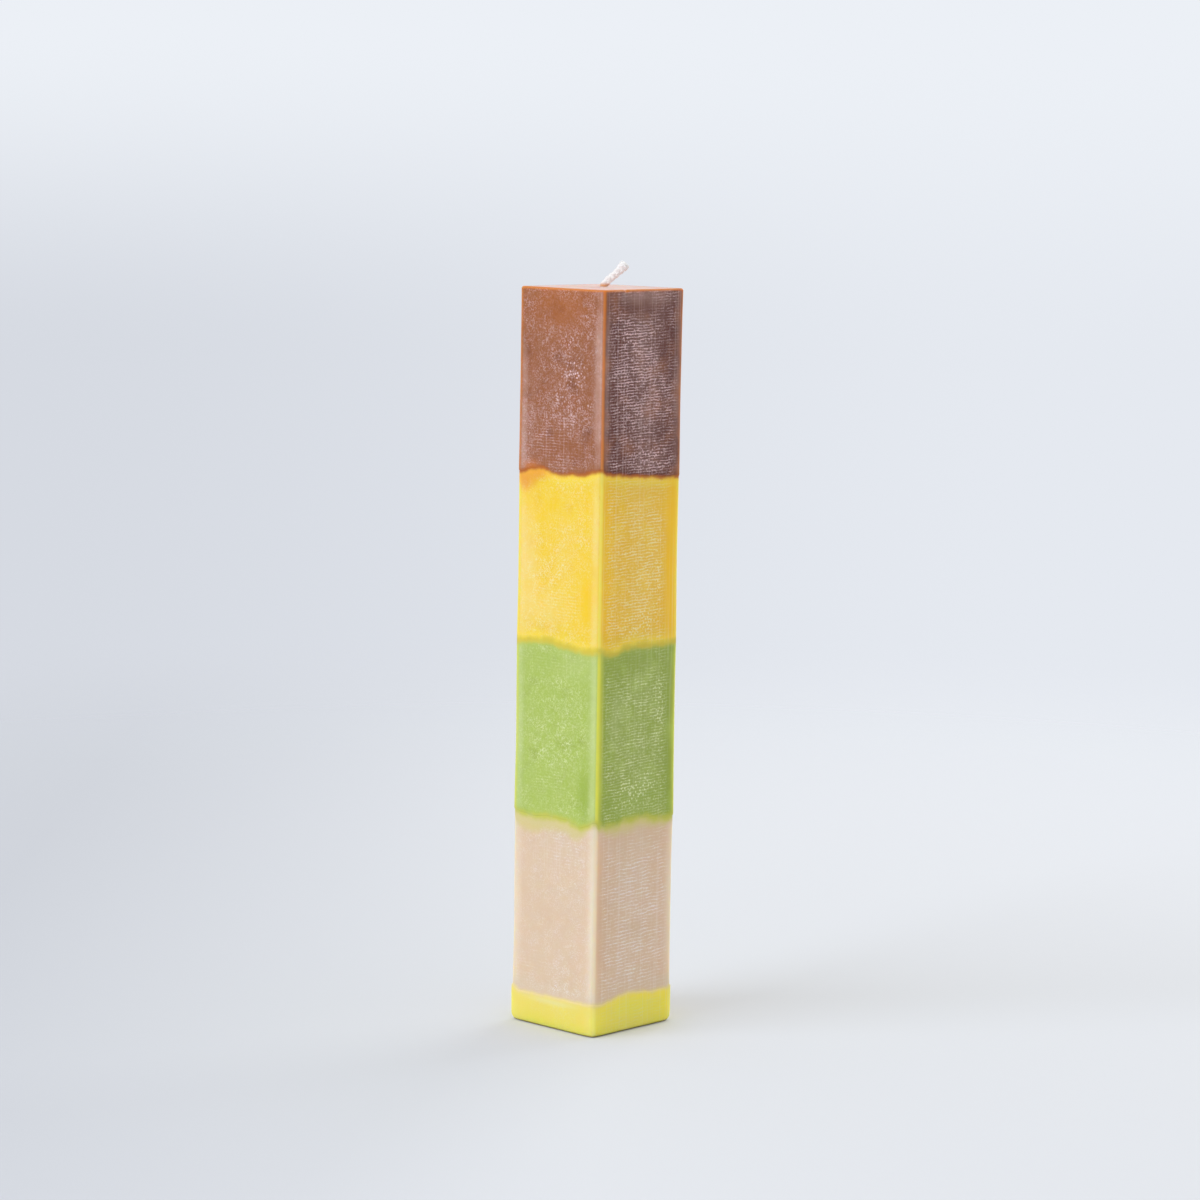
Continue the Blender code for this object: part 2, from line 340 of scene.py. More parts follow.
def meetNeighbour(tree, colour, place, seam, height, film, above):
    # Colours one end of a pour: height gives the millimetres above the pour line.
    # Both pours carry the same bands here, so no hard line shows where one mesh ends.
    rag = addNode(tree, "ShaderNodeTexNoise", {},
                  {"Scale": 1 / seam["raggedSize"], "Detail": 4.0, "Roughness": 0.62}, {"Vector": place})
    shift = addNode(tree, "ShaderNodeMath", timesPlus, {1: 2 * seam["ragged"], 2: -seam["ragged"]}, {0: rag})
    level = addNode(tree, "ShaderNodeMath", plus, {}, {0: height, 1: shift})
    deep = addNode(tree, "ShaderNodeMath", plus, {}, {0: level, 1: film})
    filmed = addNode(tree, "ShaderNodeMapRange", smoothly,
                     {"From Min": -seam["filmSoft"], "From Max": seam["filmSoft"], "To Max": seam["filmAmount"]},
                     {"Value": deep})
    melted = addNode(tree, "ShaderNodeMapRange", smoothly, {"From Min": -seam["soft"], "From Max": seam["soft"]},
                     {"Value": level})
    lower = addNode(tree, "ShaderNodeMix", inColour,
                    {6: hexColour(seam["lower"]), 7: hexColour(seam["filmColour"])}, {0: filmed})
    upper = addNode(tree, "ShaderNodeMix", inColour, {7: hexColour(seam["upper"])},
                    {0: melted, 6: lower.outputs[2]})
    tree.links.new(colour, upper.inputs[7] if above else lower.inputs[6])
    away = addNode(tree, "ShaderNodeMath", {"operation": "ABSOLUTE"}, {}, {0: level})
    lined = addNode(tree, "ShaderNodeMapRange", smoothly,
                    {"From Max": seam["lineWidth"], "To Min": seam["lineAmount"], "To Max": 0.0}, {"Value": away})
    # The line comes and goes every 5 mm or so
    fickle = addNode(tree, "ShaderNodeTexNoise", {}, {"Scale": 1 / 5, "Detail": 3.0}, {"Vector": place})
    strong = addNode(tree, "ShaderNodeMapRange", smoothly, {"From Min": 0.32, "From Max": 0.58, "To Min": 0.35},
                     {"Value": fickle})
    drawn = addNode(tree, "ShaderNodeMath", times, {}, {0: lined, 1: strong})
    return addNode(tree, "ShaderNodeMix", inColour, {7: hexColour(seam["line"])},
                   {0: drawn, 6: upper.outputs[2]}).outputs[2]


# Patterns in the wax, in millimetres
waxPattern = {
    "cloudSize": 9,            # clouds of the second body colour
    "waviness": 6.0,           # of the wrinkles, which bend every 7 to 10 mm
    "crystalSpacing": 1.15,    # crystals of bloom, each 0.7 mm wide
    "hairline": (1.7, 1.7, 0.012),    # streaks 0.5 mm wide and many centimetres long
    "grainSize": 0.5, "grain": 0.3,   # the roughness of bare wax
    "relief": 0.06,            # how far the bloom stands up
    "shallowReach": 5.0,       # how far from a pour line light goes as deep as it can
}
# Spots in the bloom: size in millimetres, detail, roughness, range of the noise used, amounts at its two ends
bloomSpots = {
    "dots": (0.47, 3.0, 0.6, 0.46, 0.61, 0.0, 1.8),
    "clusters": (4, 5.0, 0.65, 0.36, 0.64, 0.3, 1.55),
    "patches": (15, 5.0, 0.65, 0.34, 0.62, 0.55, 1.0),
}


def waxMaterial(name, piece):
    # Stearin blend cast against a flat mould: satin, slightly see-into, with a white bloom that
    # grew in fine wrinkles where the wax let go of the wall.
    material, tree = newMaterial(name)
    place = inMillimetres(tree)
    here = {part: addNode(tree, "ShaderNodeAttribute", {"attribute_name": part}).outputs["Fac"]
            for part in waxFields}

    # The second colour lies in clouds and over the sides away from the front, where it paints their shade; on the
    # lemon it paints light
    clouds = addNode(tree, "ShaderNodeTexNoise", {},
                     {"Scale": 1 / waxPattern["cloudSize"], "Detail": 4.0, "Roughness": 0.55}, {"Vector": place})
    gathered = addNode(tree, "ShaderNodeMath", timesPlus, {1: 0.42}, {0: here["clouded"], 2: clouds})
    cloudingAndShade = addNode(tree, "ShaderNodeMapRange", {}, {"From Min": 0.56, "From Max": 0.92}, {"Value": gathered})
    colour = addNode(tree, "ShaderNodeMix", inColour,
                     {6: hexColour(piece["body"]), 7: hexColour(piece["cloud"])}, {0: cloudingAndShade}).outputs[2]

    # Wrinkles, level on the front and rising slightly to the right on the other side, broken into dashes
    tilt = addNode(tree, "ShaderNodeMapping", {},
                   {"Rotation": (math.radians(-3), math.radians(1), 0), "Scale": (0.7, 0.7, 1.0)},
                   {"Vector": place})
    wrinkle = addNode(tree, "ShaderNodeTexWave", {"bands_direction": "Z"},
                      {"Scale": math.pi / 10 / piece["wrinkleSpacing"], "Distortion": waxPattern["waviness"],
                       "Detail": 5.0, "Detail Scale": 0.8, "Detail Roughness": 0.7}, {"Vector": tilt})
    crest = addNode(tree, "ShaderNodeMapRange", smoothly, {"From Min": 0.52, "From Max": 0.92, "To Max": 1.15},
                    {"Value": wrinkle.outputs["Fac"]})
    dashScale = 1 / piece["dashLength"]
    stretch = addNode(tree, "ShaderNodeMapping", {}, {"Scale": (dashScale, dashScale, 2.0)}, {"Vector": place})
    dashes = addNode(tree, "ShaderNodeTexNoise", {}, {"Scale": 1.0, "Detail": 2.0}, {"Vector": stretch})
    broken = addNode(tree, "ShaderNodeMapRange", smoothly, {"From Min": 0.4, "From Max": 0.56, "To Min": 0.35},
                     {"Value": dashes})
    crests = addNode(tree, "ShaderNodeMath", times, {}, {0: crest, 1: broken})
    # On the front the bloom is dots with few wrinkles; on the other side the dots break up the wrinkles
    spots = {}
    for part, (size, detail, roughness, start, end, least, most) in bloomSpots.items():
        speckle = addNode(tree, "ShaderNodeTexNoise", {},
                          {"Scale": 1 / size, "Detail": detail, "Roughness": roughness}, {"Vector": place})
        spots[part] = addNode(tree, "ShaderNodeMapRange", smoothly,
                              {"From Min": start, "From Max": end, "To Min": least, "To Max": most},
                              {"Value": speckle})
    dotted = addNode(tree, "ShaderNodeMath", timesPlus, {1: 0.4, 2: 0.6}, {0: spots["dots"]})
    crests = addNode(tree, "ShaderNodeMath", times, {}, {0: crests, 1: dotted})
    crests = addNode(tree, "ShaderNodeMix", {"data_type": "FLOAT"}, {},
                     {0: here["wrinkled"], 2: spots["dots"], 3: crests})
    crests = addNode(tree, "ShaderNodeMath", times, {}, {0: crests, 1: spots["clusters"]})
    covered = addNode(tree, "ShaderNodeMath", times, {}, {0: spots["patches"], 1: here["bloom"]})
    haze = addNode(tree, "ShaderNodeMath", timesPlus, {1: piece["wrinkles"], 2: piece["haze"]}, {0: crests})
    hazed = addNode(tree, "ShaderNodeMath", times, {}, {0: covered, 1: haze})
    # Crystals of bloom in clusters, with some all over
    crystals = addNode(tree, "ShaderNodeTexVoronoi", {}, {"Scale": 1 / waxPattern["crystalSpacing"]},
                       {"Vector": place})
    grains = addNode(tree, "ShaderNodeMapRange", smoothly, {"From Min": 0.42, "From Max": 0.2},
                     {"Value": crystals})
    strewn = addNode(tree, "ShaderNodeMath", timesPlus, {1: piece["specks"]}, {0: covered, 2: here["specks"]})
    sown = addNode(tree, "ShaderNodeMath", times, {}, {0: strewn, 1: grains})
    flecked = addNode(tree, "ShaderNodeMath", plus, {}, {0: hazed, 1: sown})
    # Smooth pale haze; by the front corner it is partly a painted highlight
    streaked = addNode(tree, "ShaderNodeMath", times, {}, {0: here["smoothHaze"], 1: spots["patches"]})
    veilAndHighlight = addNode(tree, "ShaderNodeMath", times, {1: piece["smoothHaze"]}, {0: streaked})

    # Hairlines from pulling the candle out of the mould
    drawn = addNode(tree, "ShaderNodeMapping", {}, {"Scale": waxPattern["hairline"]}, {"Vector": place})
    hairs = addNode(tree, "ShaderNodeTexNoise", {}, {"Scale": 1.0, "Detail": 2.0}, {"Vector": drawn})
    hairlines = addNode(tree, "ShaderNodeMapRange", {},
                        {"From Min": 0.55, "From Max": 0.7, "To Max": piece["hairline"]}, {"Value": hairs})
    hairlines = addNode(tree, "ShaderNodeMath", times, {}, {0: hairlines, 1: here["wrinkled"]})
    # Painted light: a lighter, saturated colour along the corners, for the light that comes through the thin wax
    glowing = addNode(tree, "ShaderNodeMath", times, {1: piece["edgeAmount"]}, {0: here["edgeGlow"]})

    # All these colours lie over the body in this order
    stains = [(here["tinted"], "tint"), (here["warmed"], "warm"), (veilAndHighlight, "veilAndHighlight"), (flecked, "frost"),
              (hairlines, "frost"), (glowing, "edge")]
    inner = addNode(tree, "ShaderNodeMath", {"operation": "MINIMUM"}, {},
                    {0: here["aboveSeam"], 1: here["belowSeam"]})
    if "shallow" in piece:
        # Near a pour line the colour makes up for the light that stays shallow there
        near = addNode(tree, "ShaderNodeMapRange", smoothly,
                       {"From Min": 0.2, "From Max": waxPattern["shallowReach"], "To Min": 0.9, "To Max": 0.0},
                       {"Value": inner})
        stains.insert(0, (near, "shallow"))
    for amount, part in stains:
        colour = addNode(tree, "ShaderNodeMix", inColour, {7: hexColour(piece[part])},
                         {0: amount, 6: colour}).outputs[2]
    if "footLine" in piece:
        seam = seams[piece["footLine"]]
        colour = meetNeighbour(tree, colour, place, seam, here["aboveFoot"], here["filmFoot"], True)
    if "headLine" in piece:
        seam = seams[piece["headLine"]]
        under = addNode(tree, "ShaderNodeMath", times, {1: -1.0}, {0: here["belowHead"]})
        colour = meetNeighbour(tree, colour, place, seam, under, here["filmHead"], False)
    # The foot's dark line is painted shade where the candle meets the table; the top's orange line is partly
    # painted light through the rim
    for distance, part in (("aboveFoot", "footShade"), ("belowHead", "headRim")):
        if part in piece:
            rim = piece[part]
            rimmed = addNode(tree, "ShaderNodeMapRange", smoothly,
                             {"From Min": rim["from"], "From Max": rim["to"], "To Min": rim["amount"],
                              "To Max": 0.0}, {"Value": here[distance]})
            colour = addNode(tree, "ShaderNodeMix", inColour, {7: hexColour(rim["colour"])},
                             {0: rimmed, 6: colour}).outputs[2]

    # Satin wax; the bloom is duller and stands up a few hundredths of a millimetre
    rough = addNode(tree, "ShaderNodeMapRange", {}, {"To Min": piece["roughness"], "To Max": 0.8},
                    {"Value": flecked})
    frosted = addNode(tree, "ShaderNodeMath", {"operation": "MULTIPLY_ADD", "use_clamp": True},
                      {1: piece["smoothHaze"]}, {0: streaked, 2: flecked})
    grain = addNode(tree, "ShaderNodeTexNoise", {}, {"Scale": 1 / waxPattern["grainSize"], "Detail": 3.0},
                    {"Vector": place})
    relief = addNode(tree, "ShaderNodeMath", timesPlus, {1: waxPattern["grain"]}, {0: grain, 2: frosted})
    bump = addNode(tree, "ShaderNodeBump", {},
                   {"Strength": piece["bump"], "Distance": waxPattern["relief"] * millimetre}, {"Height": relief})
    # Light stays shallow near a pour line, because the next pour is a mesh of its own that would block it,
    # and under bloom, which scatters it straight back
    depth = addNode(tree, "ShaderNodeMapRange", smoothly,
                    {"From Min": 0.2, "From Max": waxPattern["shallowReach"], "To Max": piece["subsurface"]},
                    {"Value": inner})
    bare = addNode(tree, "ShaderNodeMapRange", {}, {"To Min": 1.0, "To Max": 0.3}, {"Value": flecked})
    depth = addNode(tree, "ShaderNodeMath", times, {}, {0: depth, 1: bare})
    shader = addNode(tree, "ShaderNodeBsdfPrincipled", {},
                     {"IOR": 1.44, "Subsurface Radius": piece["lightRadius"], "Subsurface Scale": millimetre,
                      "Specular IOR Level": piece["specular"]},
                     {"Base Color": colour, "Roughness": rough, "Normal": bump, "Subsurface Weight": depth})
    addNode(tree, "ShaderNodeOutputMaterial", links={"Surface": shader})
    return material


def finishLayer(name, piece, material):
    obj = castLayer(name, piece)
    obj.data.materials.append(waxMaterial(material, piece))
    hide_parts(piece["node"])
    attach(obj, "root")
    print(name, "cast:", len(obj.data.polygons), "faces")


def shapeLemonFoot(bm):
    # The corners of the open mould leave the foot's corners rounder towards the table
    rise = lemonFoot["cornerRise"]
    for v in bm.verts:
        x, y, z = v.co
        if z < rise and abs(x) > 15 and abs(y) > 15:
            corner = max(0.0, (abs(x) + abs(y) - 35) / 5)
            v.co.xy *= 1 - lemonFoot["cornerPull"] * corner * (1 - z / rise) ** 2


# Lemon: the last pour, and the foot that the candle stands on. It stands out from the beige.
lemonFoot = {
    "node": "lemon_wax_layer", "slot": "lemon_wax", "foot": 0.0, "head": 12.0, "rows": 26,
    "headLine": "lemonBeige", "footRadius": 1.5, "footBloom": 0.2,
    "proudFoot": 0.16, "proudHead": 0.2, "waist": 0.0, "footMeets": 0.0, "headMeets": -0.1, "lip": 0.7,
    "shape": shapeLemonFoot, "cornerRise": 3.2, "cornerPull": 0.035,
    "bloomPatches": [(20, 8, 16, 4, 0.6)],
    "tintPatches": [(20, 1, 34, 5.5, 0.6), (60, 1, 34, 9, 0.7), (120, 1, 60, 7, 0.6)],
    "warmPatches": [(21, 9.4, 17, 1.7, 0.7)],
    "glowPatches": [(79.5, 6, 4, 30, 0.5), (40, 6, 2.5, 30, 0.4)],
    # The second colour paints light on the sides away from the front, and the edge colour paints light glowing
    # through the corners
    "body": "#f6e168", "cloud": "#ffea48", "tint": "#f4e34c", "warm": "#f3eaa0", "frost": "#f5ecae",
    "veilAndHighlight": "#f2e68e", "smoothHaze": 0.35, "edge": "#fbef90", "edgeAmount": 0.6,
    "haze": 0.1, "wrinkles": 0.25, "specks": 0.0, "hairline": 0.4, "wrinkleSpacing": 1.15, "dashLength": 1.5,
    "roughness": 0.42, "specular": 0.4, "bump": 0.4, "subsurface": 1.0, "lightRadius": (7.0, 5.0, 1.5),
    # Painted shade: a dark olive line along the bottom edge, where the candle meets the table
    "footShade": {"colour": "#836a22", "from": 0.1, "to": 0.9, "amount": 0.9},
}
finishLayer("lemonFoot", lemonFoot, "lemonStearinWax")

beigeLayer = {
    "node": "beige_wax_layer", "slot": "beige_wax", "foot": 12.0, "head": 73.8, "rows": 60,
    "footLine": "lemonBeige", "headLine": "beigeGreen",
    "proudFoot": -0.1, "proudHead": -0.05, "waist": 0.1, "footMeets": -0.1, "headMeets": -0.1, "lip": 0.6,
    "bloomPatches": [(60, 46, 34, 36, 0.35), (58, 26, 26, 17, 0.7), (28, 62, 10, 9, 0.4), (61, 36, 8, 6, -0.9),
                     (20, 38, 22, 34, -0.5), (77, 40, 3, 50, 0.6), (60, 70, 26, 13, -0.85),
                     (42, 43, 3, 60, -0.5)],
    "wrinklePatches": [(22, 62, 20, 12, 0.7), (12, 22, 14, 10, 0.7)],
    "tintPatches": [(60, 36, 10, 8, 0.5), (44, 42, 7, 30, 0.3)],
    # The warm patches at 39.3 and 79 paint the front corner's highlight and light glowing through the right edge
    "warmPatches": [(1.5, 43, 4, 60, 0.4), (39.3, 43, 2.4, 60, 0.9), (79, 43, 6, 60, 0.8)],
    # The second colour paints shade on the sides away from the front, and the edge colour paints light glowing
    # through the corners
    "body": "#e2caae", "cloud": "#e0c2a2", "tint": "#d4b48e", "warm": "#eae1ce", "frost": "#f2e7e0",
    "veilAndHighlight": "#eee0cc", "smoothHaze": 0.6, "edge": "#f0e0c8", "edgeAmount": 0.85,
    "haze": 0.05, "wrinkles": 0.8, "specks": 0.2, "hairline": 0.3, "wrinkleSpacing": 1.2, "dashLength": 6.5,
    "roughness": 0.45, "specular": 0.4, "bump": 0.6, "subsurface": 1.0, "lightRadius": (6.5, 4.5, 2.2),
}
finishLayer("beigeLayer", beigeLayer, "beigeStearinWax")

greenLayer = {
    "node": "green_wax_layer", "slot": "green_wax", "foot": 73.8, "head": 134.2, "rows": 60,
    "footLine": "beigeGreen", "headLine": "greenYellow",
    "proudFoot": 0.1, "proudHead": 0.02, "waist": 0.12, "footMeets": -0.1, "headMeets": 0.0, "lip": 0.7,
    "bloomPatches": [(60, 112, 18, 24, 0.3), (18, 98, 16, 20, 0.4), (34, 84, 6, 10, -0.8), (60, 80, 20, 8, -0.5),
                     (60, 129, 28, 9, -0.8), (77, 104, 5, 60, -0.9)],
    "speckPatches": [(60, 84, 15, 9, 0.95), (71, 112, 3, 20, 0.7)],
    "hazeAndHighlightPatches": [(50, 108, 7, 16, 0.6)],
    "wrinklePatches": [(20, 86, 26, 12, 0.5), (20, 128, 26, 8, 0.6)],
    "tintPatches": [(60, 80, 26, 12, 0.6), (35, 84, 6, 14, 0.5), (44, 104, 5, 40, 0.3)],
    # The warm patch at 39 paints the front corner's highlight
    "warmPatches": [(30, 128, 16, 9, 0.35), (1.5, 104, 4, 60, 0.5), (39, 104, 3, 60, 0.5)],
    "glowPatches": [(79, 104, 4, 60, 0.35), (41.8, 104, 2.4, 60, 0.45)],
    # The second colour paints shade on the sides away from the front, and the edge colour paints light glowing
    # through the corners
    "body": "#b1c85f", "cloud": "#98ad42", "tint": "#98b238", "warm": "#c6d88c", "frost": "#dfe8b2",
    "veilAndHighlight": "#d3e0a6", "smoothHaze": 0.5, "edge": "#e6e45e", "edgeAmount": 0.85,
    "haze": 0.05, "wrinkles": 0.6, "specks": 0.35, "hairline": 0.25, "wrinkleSpacing": 1.05, "dashLength": 3.2,
    "roughness": 0.42, "specular": 0.4, "bump": 0.7, "subsurface": 1.0, "lightRadius": (3.0, 3.6, 1.2),
}
finishLayer("greenLayer", greenLayer, "greenStearinWax")

yellowLayer = {
    "node": "yellow_wax_layer", "slot": "yellow_wax", "foot": 134.2, "head": 193.3, "rows": 60,
    "footLine": "greenYellow", "headLine": "yellowBrown",
    "proudFoot": 0.02, "proudHead": -0.05, "waist": 0.12, "footMeets": 0.0, "headMeets": -0.08, "lip": 0.6,
    "bloomPatches": [(63, 165, 14, 22, 0.4), (60, 187, 20, 8, -0.7), (14, 152, 12, 16, 0.3),
                     (34, 150, 6, 14, -0.9), (20, 184, 18, 10, -0.6), (76, 163, 8, 60, -1.2),
                     (60, 147, 18, 12, 0.4)],
    "speckPatches": [(60, 142, 14, 7, 0.95), (69.8, 162, 1.6, 24, 0.9)],
    "hazeAndHighlightPatches": [(6.5, 162, 7, 34, 0.9), (16, 146, 16, 12, 0.6), (24, 168, 8, 22, 0.35)],
    "wrinklePatches": [(24, 148, 24, 14, 0.7), (24, 180, 24, 10, 0.4)],
    # The tint patches at 44.5 and 76.5 paint light glowing through the wax beside the corners
    "tintPatches": [(44.5, 163, 4.5, 60, 0.8), (76.5, 163, 6, 60, 0.9), (35.5, 150, 4, 16, 0.6)],
    "warmPatches": [(3.5, 189.5, 5, 5.5, 0.75), (10, 192.5, 8, 3, 0.5)],
    "glowPatches": [(79, 163, 4.5, 60, 0.3)],
    # The second colour paints shade on the sides away from the front, and the edge colour paints light glowing
    # through the corners
    "body": "#ffd42e", "cloud": "#f6c41e", "tint": "#ffce12", "warm": "#ee9222", "frost": "#ffe9a8",
    "veilAndHighlight": "#ffe39c", "smoothHaze": 0.52, "edge": "#ffe86e", "edgeAmount": 0.9, "shallow": "#ffe040",
    "haze": 0.05, "wrinkles": 0.85, "specks": 0.45, "hairline": 0.35, "wrinkleSpacing": 1.05, "dashLength": 3.0,
    "roughness": 0.42, "specular": 0.4, "bump": 1.0, "subsurface": 0.65, "lightRadius": (9.0, 4.2, 0.9),
}
finishLayer("yellowLayer", yellowLayer, "goldenYellowStearinWax")


def shapeBrownTop(bm):
    piece = brownTop
    for v in bm.verts:
        x, y, z = v.co
        # The wax climbs a little up the wick
        fromWick = math.hypot(x, y)
        if z > piece["head"] - 1 and fromWick < piece["climbReach"]:
            v.co.z += piece["climb"] * (1 - fromWick / piece["climbReach"]) ** 3
        # The right back edge flares towards the top
        if z > piece["flareFrom"]:
            share = (z - piece["flareFrom"]) / (piece["head"] - piece["flareFrom"])
            lean = share ** 2 * max(0.0, x + y - 20) / 20
            v.co.x += piece["flare"] * lean
            v.co.y += piece["flare"] * lean
        # A small chip out of the top edge
        chip = (v.co - Vector(piece["chipPlace"])).length
        if chip < piece["chipSize"]:
            v.co -= Vector(piece["chipDepth"]) * (1 - chip / piece["chipSize"]) ** 0.7


# Brown: the first pour, at the bottom of the mould, so its top is flat and crisp
brownTop = {
    "node": "brown_wax_layer", "slot": "brown_wax", "foot": 193.3, "head": 256.0, "rows": 60,
    "footLine": "yellowBrown", "headRadius": 0.8, "headBloom": 0.8, "headHaze": 2.1,
    "proudFoot": 0.08, "proudHead": 0.0, "waist": 0.06, "footMeets": -0.08, "headMeets": 0.0, "lip": 1.0,
    "shape": shapeBrownTop, "climb": 0.45, "climbReach": 6, "flare": 0.22, "flareFrom": 215,
    "chipPlace": (20.0, -8.6, 256.0), "chipSize": 1.4, "chipDepth": (0.5, 0, 0.6),
    "bloomPatches": [(54, 226, 14, 30, 0.3), (58, 251, 26, 9, -1.0), (20, 250, 22, 12, -0.7),
                     (60, 203, 30, 16, -0.3), (6, 232, 10, 20, -0.4), (20, 234, 24, 26, -0.5),
                     (72, 236, 9, 20, -0.5), (27, 199, 11, 11, -0.5), (33, 222, 10, 22, -0.45)],
    "speckPatches": [(27, 228, 8, 7.5, 1.1), (25, 238, 6, 5, 0.6), (20, 220, 5, 5, 0.5), (33, 217, 4, 3, 0.5),
                     (27, 214, 14, 24, 0.15), (62, 200, 14, 7, 0.5), (52, 240, 8, 6, 0.4)],
    "wrinklePatches": [(18, 203, 28, 18, 0.8)],
    # The haze patches at 39.7 and 41.8 partly paint the front corner's highlight and the light that comes round it
    "hazeAndHighlightPatches": [(4, 250, 8, 26, -1.0), (37, 252, 8, 14, -0.6), (37, 200, 8, 10, -0.5),
                    (43, 226, 3.5, 90, 0.22), (77, 226, 3.5, 90, 0.45), (60, 254, 26, 5, 0.5),
                    (39.7, 226, 1.4, 90, 0.8), (41.8, 226, 1.6, 90, 0.5)],
    "tintPatches": [(56, 248.5, 7, 4, 0.7), (60, 254, 24, 6, 0.3)],
    "warmPatches": [(7, 194.5, 7, 4, 0.8), (20, 253, 26, 22, 0.3)],
    "glowPatches": [(42, 220, 1.8, 60, -0.6)],
    # The second colour paints shade on the sides away from the front, and the edge colour paints light glowing
    # through the corners
    "body": "#9f6440", "cloud": "#60332b", "tint": "#6a3826", "warm": "#cf7a34", "frost": "#e3c6c8",
    "veilAndHighlight": "#dfbeb4", "smoothHaze": 0.6, "edge": "#de9048", "edgeAmount": 0.8,
    "haze": 0.04, "wrinkles": 0.85, "specks": 0.45, "hairline": 0.28, "wrinkleSpacing": 1.0, "dashLength": 2.8,
    "roughness": 0.4, "specular": 0.2, "bump": 0.6, "subsurface": 0.8, "lightRadius": (3.2, 1.4, 0.8),
    # The orange line round the top edge: the rim's clear wax, partly painted glow of light through it
    "headRim": {"colour": "#d2843a", "from": 0.15, "to": 1.1, "amount": 0.85},
}
finishLayer("brownTop", brownTop, "brownStearinWax")

# Braided cotton wick: three strands of four yarns, plaited flat, cut square at the top
wickBraid = {
    "foot": 0.6,
    # sideways and up from where it leaves the wax, read off the photo
    "stub": [(0, -4), (0, -1.5), (0.25, 0), (1.1, 1.35), (2.3, 2.6), (4.5, 4.5), (6.3, 6.3), (7.6, 7.8)],
    "leanTowards": math.radians(43.7),
    "width": 0.48, "depth": 0.24,     # how far a strand swings each way
    "pitch": 6.0, "strands": 3,
    "yarns": 4, "yarnOffset": 0.26, "yarnRadius": 0.67, "twist": 5.0, "coreRadius": 1.0,
    "step": 0.3, "buriedStep": 0.9,   # between the points along the wick
    "endSwell": 1.45, "swellLength": 5.0,
    "fibres": 420, "fibreLength": 0.8, "fibreRadius": 0.05, "fibreSpread": 0.75, "fibreCurl": 0.25,
    "plain": "#f6faff", "bright": "#fcfeff", "stain": "#d98a34", "stainFrom": 256.6, "stainTo": 257.7,
}


def wickCentre():
    # Evenly spaced centre points of the whole wick with the direction of each
    lean = Vector((math.cos(wickBraid["leanTowards"]), math.sin(wickBraid["leanTowards"]), 0))
    corners = [Vector((0, 0, wickBraid["foot"]))]
    corners += [lean * across + Vector((0, 0, brownTop["head"] + up)) for across, up in wickBraid["stub"]]
    route = []
    for i in range(1, len(corners)):
        before, start, end = corners[max(0, i - 2)], corners[i - 1], corners[i]
        after = corners[min(len(corners) - 1, i + 1)]
        length = (end - start).length
        steps = max(2, round(length / wickBraid["buriedStep" if i == 1 else "step"]))
        enter = (end - before).normalized() * length if i > 1 else end - start
        leave = (after - start).normalized() * length if i > 1 else end - start
        for k in range(steps):
            t = k / steps
            route.append(start * (2 * t ** 3 - 3 * t ** 2 + 1) + enter * (t ** 3 - 2 * t ** 2 + t)
                         + end * (3 * t ** 2 - 2 * t ** 3) + leave * (t ** 3 - t ** 2))
    route.append(corners[-1])
    return route


def swellAt(left):
    # The braid opens out over its last few millimetres
    return 1 + (wickBraid["endSwell"] - 1) * max(0.0, 1 - left / wickBraid["swellLength"]) ** 1.5


